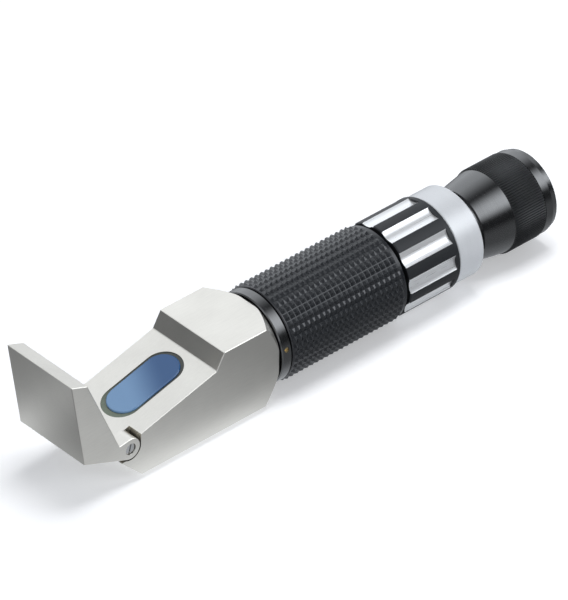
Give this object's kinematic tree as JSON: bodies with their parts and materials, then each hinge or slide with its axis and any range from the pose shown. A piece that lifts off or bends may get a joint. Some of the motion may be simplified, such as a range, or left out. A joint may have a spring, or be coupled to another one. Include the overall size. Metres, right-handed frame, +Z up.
{
  "type": "brix refractometer",
  "caption": "Hand-held brix refractometer: square prism head with a folding illuminator flap, rubber-gripped tube, fluted zero ring, silver collar and screw-focus eyepiece.",
  "frame": {"origin": "on the table, under the optical axis, at the middle of the overall length with the flap open", "axes": "+X along the optical axis from the prism to the eye, +Z up, out of the prism side"},
  "size_m": [0.2138, 0.0346, 0.0511],
  "materials": {
    "satin_metal": "satin, fine ground, as on satin nickel",
    "blue_glass": "polished, blue coated",
    "seal_putty": "matt",
    "frosted_glass": "frosted",
    "clear_glass": "polished",
    "steel": "satin",
    "brass": "turned",
    "black_anodised": "satin black anodised",
    "grip_rubber": "matt, square checkering",
    "fluted_anodised": "satin black anodised with bright cut flutes",
    "silver_anodised": "satin silver anodised"
  },
  "bodies": {
    "barrel": {"prism_head": "satin_metal", "measuring_prism": "blue_glass", "prism_seal": "seal_putty", "hinge_screws": "steel", "hinge_washers": "steel", "front_ring": "black_anodised", "ring_grub_screw": "brass", "barrel_tube": "black_anodised", "rubber_grip": "grip_rubber", "index_ring": "silver_anodised", "objective_cell": "black_anodised", "objective_lens": "clear_glass", "objective_retainer": "black_anodised", "focus_sleeve": "black_anodised"},
    "flap": {"flap_body": "satin_metal", "flap_plate": "frosted_glass", "flap_window": "frosted_glass"},
    "zero_ring": {"adjusting_ring": "fluted_anodised"},
    "scale": {"scale_carrier": "black_anodised", "scale_disc": "clear_glass", "carrier_pins": "steel"},
    "ocular": {"ocular_tube": "black_anodised", "guide_pin": "steel", "field_lens": "clear_glass", "lens_spacer": "black_anodised", "eye_lens": "clear_glass", "eye_lens_retainer": "black_anodised"},
    "eyepiece": {"eyepiece_shell": "black_anodised", "knurled_ring": "black_anodised", "eye_rim": "black_anodised"}
  },
  "joints": [
    {"name": "flap_hinge", "type": "hinge", "parent": "barrel", "child": "flap", "pos_m": [-0.08219, 0, 0.0144], "axis": [0, 1, 0], "range_deg": [-10, 98.7]},
    {"name": "zero_turn", "type": "hinge", "parent": "barrel", "child": "zero_ring", "pos_m": [0.04991, 0, 0.0173], "axis": [1, 0, 0], "range_deg": [-30, 30]},
    {"name": "scale_shift", "type": "slide", "parent": "barrel", "child": "scale", "axis": [0, 0, 1], "range_m": [-0.00032, 0.00032]},
    {"name": "focus_travel", "type": "slide", "parent": "barrel", "child": "ocular", "axis": [1, 0, 0], "range_m": [-0.00176, 0.00176]},
    {"name": "focus_turn", "type": "hinge", "parent": "ocular", "child": "eyepiece", "pos_m": [0.08891, 0, 0.0173], "axis": [1, 0, 0], "range_deg": [-180, 180]}
  ],
  "couplings": [
    {"joint": "scale_shift", "follows": "zero_turn", "m_per_rad": 0.0006},
    {"joint": "focus_travel", "follows": "focus_turn", "m_per_rad": 0.00055704}
  ]
}
